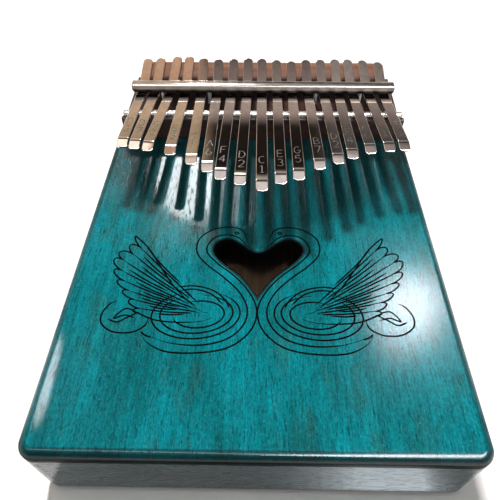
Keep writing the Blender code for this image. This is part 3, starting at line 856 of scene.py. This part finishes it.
def make_clamp_screw(number):
    """A threaded shank from the base up into the press bar."""
    name = f"clamp_screw_{number}"
    low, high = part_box(name)
    x, y = (low.x + high.x) / 2, (low.y + high.y) / 2
    sides, rows = 32, 150
    head_top = low.z + SCREW_HEAD_HEIGHT
    shape = Shape()
    head = circle((x, y), (high.x - low.x) / 2, sides)
    rings = [shape.ring(inset(head, d), z)
             for d, z in edge_rings(low.z, head_top, 0.2 * MM, 0.2 * MM, 3, 0.0)]
    for row in range(rows + 1):
        z = head_top + (high.z - head_top) * row / rows
        outline = []
        for k in range(sides):
            turn = k / sides
            wave = 0 if row in (0, rows) else abs(((z / THREAD_PITCH - turn) % 1.0) * 2 - 1)
            radius = THREAD_CORE + (THREAD_CREST - THREAD_CORE) * wave
            outline.append((x + radius * math.cos(math.tau * turn),
                            y + radius * math.sin(math.tau * turn)))
        rings.append(shape.ring(outline, z))
    for lower, upper in zip(rings, rings[1:]):
        shape.band(lower, upper)
    shape.face(rings[0][::-1])
    shape.face(rings[-1])
    keep(shape.build(name + "_threaded", [SCREW], crease=60), "screw_steel", name)


# ---- Tines ----
NOTE_MARKS = "D2 B7 G5 E3 C1 A6 F4 D2 C1 E3 G5 B7 D2 F4 A6 C1 E3".split()
GLYPH_WIDTH = 2.6 * MM
GLYPH_HEIGHT = 4.4 * MM
GLYPH_STROKE = 0.42 * MM
GLYPH_DEPTH = 0.14 * MM
GLYPH_PLACES = (11.7 * MM, 5.8 * MM)      # letter and number, behind the tip's crease


def arc(cx, cy, rx, ry, start, stop, steps=12):
    return [(cx + rx * math.cos(math.radians(a)), cy + ry * math.sin(math.radians(a)))
            for a in np.linspace(start, stop, steps)]


# Each glyph is a list of lines in a unit square, x to the right and y up.
GLYPHS = {
    "A": [[(0.02, 0), (0.5, 1), (0.98, 0)], [(0.2, 0.36), (0.8, 0.36)]],
    "B": [[(0.1, 0.5), (0.5, 0.5)] + arc(0.5, 0.25, 0.42, 0.25, 90, -90)[1:]
          + [(0.1, 0), (0.1, 1)] + arc(0.45, 0.75, 0.36, 0.25, 90, -90)],
    "C": [arc(0.52, 0.5, 0.46, 0.5, 50, 310, 18)],
    "D": [[(0.1, 0), (0.1, 1)] + arc(0.38, 0.5, 0.56, 0.5, 90, -90, 14) + [(0.1, 0)]],
    "E": [[(0.9, 1), (0.1, 1), (0.1, 0), (0.9, 0)], [(0.1, 0.52), (0.75, 0.52)]],
    "F": [[(0.9, 1), (0.1, 1), (0.1, 0)], [(0.1, 0.52), (0.75, 0.52)]],
    "G": [arc(0.5, 0.5, 0.46, 0.5, 50, 340, 18) + [(0.95, 0.46), (0.55, 0.46)]],
    "1": [[(0.28, 0.78), (0.52, 1), (0.52, 0)], [(0.25, 0), (0.8, 0)]],
    "2": [arc(0.5, 0.7, 0.4, 0.3, 160, -35) + [(0.1, 0), (0.92, 0)]],
    "3": [arc(0.48, 0.75, 0.36, 0.25, 150, -90) + arc(0.48, 0.26, 0.42, 0.26, 90, -150)],
    "4": [[(0.72, 0), (0.72, 1), (0.06, 0.3), (0.96, 0.3)]],
    "5": [[(0.86, 1), (0.2, 1), (0.16, 0.56)] + arc(0.48, 0.33, 0.42, 0.33, 120, -140, 14)],
    "6": [arc(0.5, 0.3, 0.4, 0.3, 0, 360, 20), arc(0.75, 0.32, 0.66, 0.68, 105, 180, 8)],
    "7": [[(0.08, 1), (0.92, 1), (0.4, 0)]],
}


def even_path(points, spacing):
    """Split long straight stretches, so that a stroke's corners stay crisp."""
    path = [points[0]]
    for a, b in zip(points, points[1:]):
        length = math.dist(a, b)
        if length < 1e-9:
            continue
        count = max(1, round(length / spacing))
        path += [(a[0] + (b[0] - a[0]) * k / count, a[1] + (b[1] - a[1]) * k / count)
                 for k in range(1, count + 1)]
    return path


def glyph_strokes(letter, centre_y):
    """Strokes of a note mark, its middle on the tine's axis at centre_y, tops to the rod."""
    strokes = []
    for line in GLYPHS[letter]:
        path = [((x - 0.5) * GLYPH_WIDTH, centre_y + (y - 0.5) * GLYPH_HEIGHT) for x, y in line]
        strokes += stroke(even_path(path, 0.35 * MM), GLYPH_STROKE)
    return strokes


def tine_outline(length, tail, lines):
    """Flat outline of a tine, anticlockwise; -y is the tip and the rod is at y = 0."""
    half = TINE_WIDTH / 2
    tip = -length
    right_tip = corner_points((half, tip), (-half, tip), (half, 0), TIP_CORNER_RADIUS, 6)
    left_tip = corner_points((-half, tip), (-half, 0), (half, tip), TIP_CORNER_RADIUS, 6)
    round_start = tail - half
    tail_arc = ellipse((0, round_start), (half, half), sweep=180, steps=18)
    inner = [y for y in sorted(lines) if tip + TIP_CORNER_RADIUS < y < round_start]
    right = [(half, y) for y in inner]
    left = [(-half, y) for y in reversed(inner)]
    return right_tip + right + tail_arc + left + left_tip


def bend_lines(crease):
    """y values where a tine's flat pattern is cut across, so that it can bend."""
    bar = ROD_Y - BAR_Y
    clamp = np.linspace(bar - CLAMP_BEND_RADIUS * math.sin(TAIL_RISE),
                        bar + CLAMP_BEND_RADIUS * math.sin(PRONG_RISE), 12)
    run = TIP_BEND_RADIUS * (math.sin(PRONG_RISE) - math.sin(PRONG_RISE - TIP_TURN))
    tip = np.linspace(crease, crease + run, 7)
    prong = np.linspace(0.0, crease, 11)[:-1]
    return [-float(y) for y in np.concatenate([clamp, prong, tip])]


def make_tine(joint, mark):
    body = joint["child"]
    name = body.removesuffix("_body")
    anchor = Vector(joint["pos_m"])
    lean = math.atan2(joint["axis"][1], joint["axis"][0])
    turn = Matrix.Rotation(lean, 3, "Z")
    node = frame["nodes"][name]
    flat_y = [(turn.transposed() @ (v.co - anchor)).y for v in node.data.vertices]
    length, tail = -min(flat_y), max(flat_y)
    crease = length - TIP_LENGTH
    lines = bend_lines(crease)
    strokes = []
    for glyph, back in zip(mark, GLYPH_PLACES):
        strokes += glyph_strokes(glyph, back - crease)
    half = TINE_THICKNESS / 2
    shape = plate(tine_outline(length, tail, lines), -half, half, TINE_EDGE, TINE_EDGE, 3,
                  strokes=strokes, depth=GLYPH_DEPTH, lines=lines)
    line_y, height, heading = middle_line(crease)

    def place(points):
        along = -points[:, 1]
        slope = np.interp(along, line_y, heading)
        y = along - points[:, 2] * np.sin(slope)
        z = np.interp(along, line_y, height) + points[:, 2] * np.cos(slope)
        local = np.stack([points[:, 0], -y, z], 1)
        rod = np.array([anchor.x, anchor.y, ROD_TOP + TINE_THICKNESS / 2])
        return local @ np.array(turn.transposed()) + rod

    tine = shape.build(name + "_stamped", [TINE, STAMP], place)
    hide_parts(name)
    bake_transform(tine)


# ---- Floor and light ----
FLOOR_REACH = 8.0              # m
FLOOR_DROP = 0.05 * MM         # keeps the floor clear of the back board


def make_floor():
    mesh = bpy.data.meshes.new("floor")
    corners = [(x * FLOOR_REACH, y * FLOOR_REACH, 0)
               for x, y in ((-1, -1), (1, -1), (1, 1), (-1, 1))]
    mesh.from_pydata(corners, [], [(0, 1, 2, 3)])
    floor = add_object("floor", mesh)
    floor.location.z = -FLOOR_DROP
    f = Finish("pale_floor", Specular_IOR_Level=0.1)
    tone = f.noise((0.3, 0.3, 0.3), 2.0)
    colour = f.mix(f.span(tone, 0.3, 0.7), (0.92, 0.92, 0.92), (0.94, 0.94, 0.94))
    mesh.materials.append(f.finish(colour, f.span(tone, 0.3, 0.7, 0.8, 0.9)))


def area_lamp(name, width, height, radiance, colour, diffuse=True, glossy=True,
              shape="RECTANGLE"):
    data = bpy.data.lights.new(name, "AREA")
    data.shape = shape
    data.size = width
    data.size_y = height
    data.energy = radiance * math.pi * width * height
    data.color = colour
    lamp = add_object(name, data)
    lamp.visible_camera = False
    lamp.visible_diffuse = diffuse
    lamp.visible_glossy = glossy
    return lamp


def panel(name, azimuth, elevation, size, radiance, colour, distance=3.0, seen_from=(0, 0),
          roll=0.0, **settings):
    """A soft patch of light seen at that angle from a point on the board.

    Azimuth is to the right of +Y, size is (width, height) and roll turns it; in degrees.
    """
    a, e = math.radians(azimuth), math.radians(elevation)
    away = Vector((math.sin(a) * math.cos(e), math.cos(a) * math.cos(e), math.sin(e)))
    width, height = (2 * distance * math.tan(math.radians(angle / 2)) for angle in size)
    lamp = area_lamp(name, width, height, radiance, colour, **settings)
    lamp.location = Vector((*seen_from, BOARD_TOP)) + away * distance
    lamp.rotation_mode = "QUATERNION"
    turn = Quaternion((0, 0, 1), math.radians(roll))
    lamp.rotation_quaternion = away.to_track_quat("Z", "Y") @ turn


# The backdrop is even all round, up to 12 degrees, and is gone at 16; the zenith is even too.
BACKDROP = (0.8, 0.79, 0.77)
BACKDROP_TOP = (math.sin(math.radians(12)), math.sin(math.radians(16)))
ZENITH = (0.3, 0.3, 0.3)

# Colour of the surround at each height above the horizon in degrees: straight ahead of the
# player, and to the left and right of that.
DOME_AHEAD = ((16, (0.55, 0.47, 0.43)), (24.4, (0.5, 0.41, 0.37)), (25.8, (0.02, 0.015, 0.013)),
              (31.8, (0.02, 0.015, 0.013)), (33.4, (0.6, 0.55, 0.47)), (37, (0.5, 0.45, 0.42)),
              (45.2, (0.4, 0.4, 0.4)), (46.6, (0.1, 0.1, 0.1)), (59.2, (0.1, 0.09, 0.09)),
              (60.8, (0.3, 0.24, 0.22)), (62.4, (0.42, 0.34, 0.32)), (64.5, (0.98, 0.94, 0.95)),
              (74, (0.98, 0.94, 0.95)))
DOME_LEFT = ((16, (0.75, 0.57, 0.42)), (24.4, (0.72, 0.54, 0.38)), (25.8, (0.55, 0.42, 0.28)),
             (31.8, (0.55, 0.42, 0.28)), (33.4, (0.5, 0.37, 0.29)), (37, (1.0, 0.95, 0.9)),
             (42.2, (1.2, 1.2, 1.2)), (43.4, (0.12, 0.12, 0.12)), (54, (0.12, 0.1, 0.09)),
             (55.5, (0.9, 0.62, 0.43)), (59, (0.7, 0.44, 0.3)), (62, (0.7, 0.45, 0.31)),
             (63, (1.0, 0.9, 0.78)), (74, (0.95, 0.9, 0.85)))
DOME_RIGHT = ((16, (0.4, 0.33, 0.3)), (22.6, (0.46, 0.39, 0.36)), (24.2, (0.27, 0.22, 0.2)),
              (25.4, (0.16, 0.14, 0.13)), (27.5, (0.1, 0.09, 0.09)), (31.8, (0.1, 0.09, 0.09)),
              (33.4, (0.3, 0.26, 0.24)), (38, (0.4, 0.4, 0.4)), (43.2, (0.5, 0.5, 0.5)),
              (44.4, (0.07, 0.07, 0.07)), (54.5, (0.07, 0.06, 0.06)), (56.6, (0.14, 0.12, 0.12)),
              (58.4, (0.36, 0.32, 0.3)), (61.5, (0.5, 0.44, 0.42)), (62.6, (0.9, 0.88, 0.86)),
              (74, (0.9, 0.9, 0.9)))

# Where the sides' colours take over, as the direction's share of +X, and where it gets dim
# on the player's own side, as the share of +Y
DOME_LEFT_FADE = (-0.09, -0.14)
DOME_RIGHT_FADE = (0.08, 0.16)
DOME_BEHIND_FADE = (-0.3, 0.05)
DOME_BEHIND_PLAYER = 0.2       # share of the brightness that is left there

# Small lamps near the board, and where on it their reflections lie
GLARE_DISTANCE = 120 * MM
RIGHT_GLARE_PLACE = (51 * MM, -42 * MM)
LEFT_GLARE_PLACE = (-63.5 * MM, -70 * MM)
FRONT_CARD_WIDTHS = [w * MM for w in (8, 10, 13, 16, 20, 24, 28, 33, 38, 44, 51, 58, 66)]
FRONT_CARD_DEPTH = 30 * MM
FRONT_CARD_RADIANCE = 3.8
WARM = (1.0, 0.98, 0.95)
COOL = (0.92, 0.98, 1.0)
SKY = (0.9, 0.97, 1.0)


def colour_ramp(nodes, height, levels):
    """The surround's colour at the sine of each height, given in degrees."""
    ramp = nodes.node("ShaderNodeValToRGB", {"Fac": height})
    elements = ramp.color_ramp.elements
    elements.remove(elements[-1])
    for degrees, colour in ((1, BACKDROP), (12, BACKDROP), *levels, (82, ZENITH)):
        elements.new(math.sin(math.radians(degrees))).color = (*colour, 1.0)
    elements.remove(elements[0])
    return ramp.outputs[0]


def make_dome():
    """A soft studio surround that differs with height above the horizon and with side."""
    world = bpy.data.worlds.new("studio")
    bpy.context.scene.world = world
    nodes = Nodes(world, "Generated")
    across, along, height = nodes.axis(0), nodes.axis(1), nodes.axis(2)
    ahead, left, right = (colour_ramp(nodes, height, levels)
                          for levels in (DOME_AHEAD, DOME_LEFT, DOME_RIGHT))
    colour = nodes.mix(nodes.span(across, *DOME_LEFT_FADE), ahead, left)
    colour = nodes.mix(nodes.span(across, *DOME_RIGHT_FADE), colour, right)
    dim = nodes.span(along, *DOME_BEHIND_FADE, DOME_BEHIND_PLAYER, 1.0, "LINEAR")
    low = nodes.span(height, *BACKDROP_TOP, 1.0, 0.0, "LINEAR")
    background = nodes.tree.nodes["Background"]
    nodes.feed(background.inputs["Strength"], nodes.maths("MAXIMUM", dim, low))
    nodes.feed(background.inputs["Color"], colour)


def make_front_card():
    """A bright patch of floor that only the front wall's lacquer picks up, soft at its sides."""
    count = len(FRONT_CARD_WIDTHS)
    shares = count * (count + 1) / 2
    for number, width in enumerate(FRONT_CARD_WIDTHS):
        radiance = FRONT_CARD_RADIANCE * (count - number) / shares
        card = area_lamp(f"front_card_{number}", width, FRONT_CARD_DEPTH, radiance,
                         (0.88, 0.95, 1.0), diffuse=False)
        card.location = (49 * MM - 0.22 * width, board_low.y - 15.5 * MM,
                         (0.4 + 0.05 * number) * MM)
        card.rotation_euler = (math.pi, 0, 0)


def make_lights():
    make_dome()
    make_front_card()
    panel("key", -8, 37, (5, 5), 720, WARM, glossy=False)
    panel("fill", 184, 67, (5, 5), 22, WARM, glossy=False)
    shine = functools.partial(panel, diffuse=False, shape="ELLIPSE")
    shine("key_shine_left", -12.5, 41.6, (7.5, 10.5), 21, COOL)
    shine("key_shine", -6.8, 42.8, (6.5, 10.5), 6, COOL, shape="RECTANGLE")
    shine("key_shine_high", -14.5, 48.5, (8, 8), 1.3, COOL)
    shine("tip_shine", -43, 58, (16, 7), 0.95, (1.0, 0.93, 0.82))
    shine("right_glare", 29.2, 54.4, (15, 16), 34, (1.0, 0.92, 0.98), GLARE_DISTANCE,
          RIGHT_GLARE_PLACE)
    shine("left_glare", -45.4, 57.0, (23, 4), 38, (0.9, 0.92, 1.0), GLARE_DISTANCE,
          LEFT_GLARE_PLACE, roll=45)
    shine("back_edge", 130, 62, (60, 14), 30, SKY)
    shine("far_back_edge", 205, 64, (70, 10), 16, SKY)


# ---- Assembly ----
make_floor()
make_lights()
make_soundboard()
make_back_board()
make_walls()
make_bridge_base()
make_saddle_rod()
make_rear_saddle()
make_press_bar()
for screw_number in range(1, 5):
    make_clamp_screw(screw_number)
for tine_joint, note_mark in zip(frame["joints"], NOTE_MARKS):
    make_tine(tine_joint, note_mark)

brace = frame["nodes"]["bridge_brace"]
brace.material_slots[0].material = RAW

bpy.context.scene.view_settings.view_transform = "Standard"
